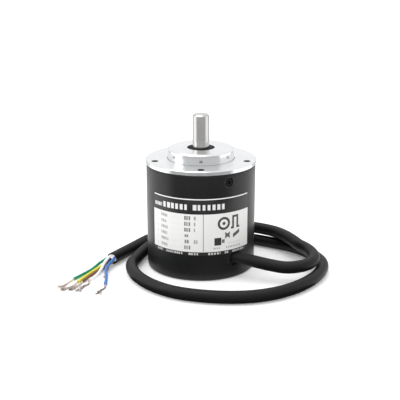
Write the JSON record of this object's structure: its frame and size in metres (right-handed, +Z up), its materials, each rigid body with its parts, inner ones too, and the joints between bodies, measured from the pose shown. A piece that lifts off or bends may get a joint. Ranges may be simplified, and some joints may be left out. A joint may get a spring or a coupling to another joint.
{
  "type": "rotary encoder",
  "caption": "Round-bodied incremental rotary encoder with a plain shaft, a pilot boss on a flange of tapped holes, and a side cable that ends in stripped wires.",
  "frame": {"origin": "centre of the base face, on the surface that the encoder stands on", "axes": "+Z up along the shaft, -Y towards the labelled front, +X to the right of the front"},
  "size_m": [0.0959, 0.07, 0.0563],
  "materials": {
    "aluminium": "fine turned, satin",
    "black_paint": "satin black coating",
    "label_foil": "printed foil, black ground with an off-white panel",
    "steel": "ground",
    "bearing_steel": "ground and polished",
    "spacer_steel": "plain",
    "black_screw": "blackened",
    "black_rubber": "matt",
    "brass": "turned",
    "cage_brass": "pressed",
    "glass": "clear",
    "black_plastic": "moulded",
    "white_plastic": "moulded",
    "board": "solder mask",
    "tin": "tinned",
    "ceramic": "ceramic",
    "lead_grey": "insulation",
    "cable_black": "semi-matt jacket",
    "wire_green": "insulation",
    "wire_white": "insulation",
    "wire_yellow": "insulation",
    "wire_brown": "insulation",
    "wire_black": "insulation",
    "wire_blue": "insulation"
  },
  "bodies": {
    "housing": {"housing_cover": "black_paint", "front_flange": "aluminium", "cover_gasket": "black_rubber", "cover_screws": "black_screw", "label": "label_foil", "shaft_seal": "black_rubber", "front_outer_race": "bearing_steel", "rear_outer_race": "bearing_steel", "front_shields": "bearing_steel", "rear_shields": "bearing_steel", "outer_spacer": "spacer_steel", "wave_washer": "spacer_steel", "snap_ring": "spacer_steel", "lamp_bracket": "black_plastic", "lamp": "glass", "bracket_screw": "spacer_steel", "slit_mask": "glass", "light_sensor": "black_plastic", "sensor_riser": "white_plastic", "circuit_board": "board", "board_standoffs": "brass", "board_screws": "spacer_steel", "signal_chip": "black_plastic", "driver_chips": "black_plastic", "capacitors": "tin", "chip_resistors": "ceramic", "board_plug": "white_plastic", "cable_grommet": "black_rubber", "cable_clamp": "white_plastic", "clamp_screws": "spacer_steel", "inner_leads": "lead_grey", "cable_jacket": "cable_black", "wire_green": "wire_green", "wire_white": "wire_white", "wire_yellow": "wire_yellow", "wire_brown": "wire_brown", "wire_black": "wire_black", "wire_blue": "wire_blue", "wire_cores": "tin"},
    "rotor": {"shaft": "steel", "front_inner_race": "bearing_steel", "rear_inner_race": "bearing_steel", "inner_spacer": "spacer_steel", "shaft_clips": "spacer_steel", "disc_hub": "brass", "hub_screw": "black_screw", "code_disc": "glass", "disc_clamp_ring": "brass"},
    "front_rolling_set": {"front_balls": "bearing_steel", "front_cage": "cage_brass"},
    "rear_rolling_set": {"rear_balls": "bearing_steel", "rear_cage": "cage_brass"}
  },
  "joints": [
    {"name": "shaft_spin", "type": "hinge", "parent": "housing", "child": "rotor", "pos_m": [0, 0, 0.04], "axis": [0, 0, 1], "continuous": true},
    {"name": "front_cage_spin", "type": "hinge", "parent": "housing", "child": "front_rolling_set", "pos_m": [0, 0, 0.0391], "axis": [0, 0, 1], "continuous": true},
    {"name": "rear_cage_spin", "type": "hinge", "parent": "housing", "child": "rear_rolling_set", "pos_m": [0, 0, 0.0299], "axis": [0, 0, 1], "continuous": true}
  ],
  "couplings": [
    {"joint": "front_cage_spin", "follows": "shaft_spin", "ratio": 0.38095},
    {"joint": "rear_cage_spin", "follows": "shaft_spin", "ratio": 0.38095}
  ]
}
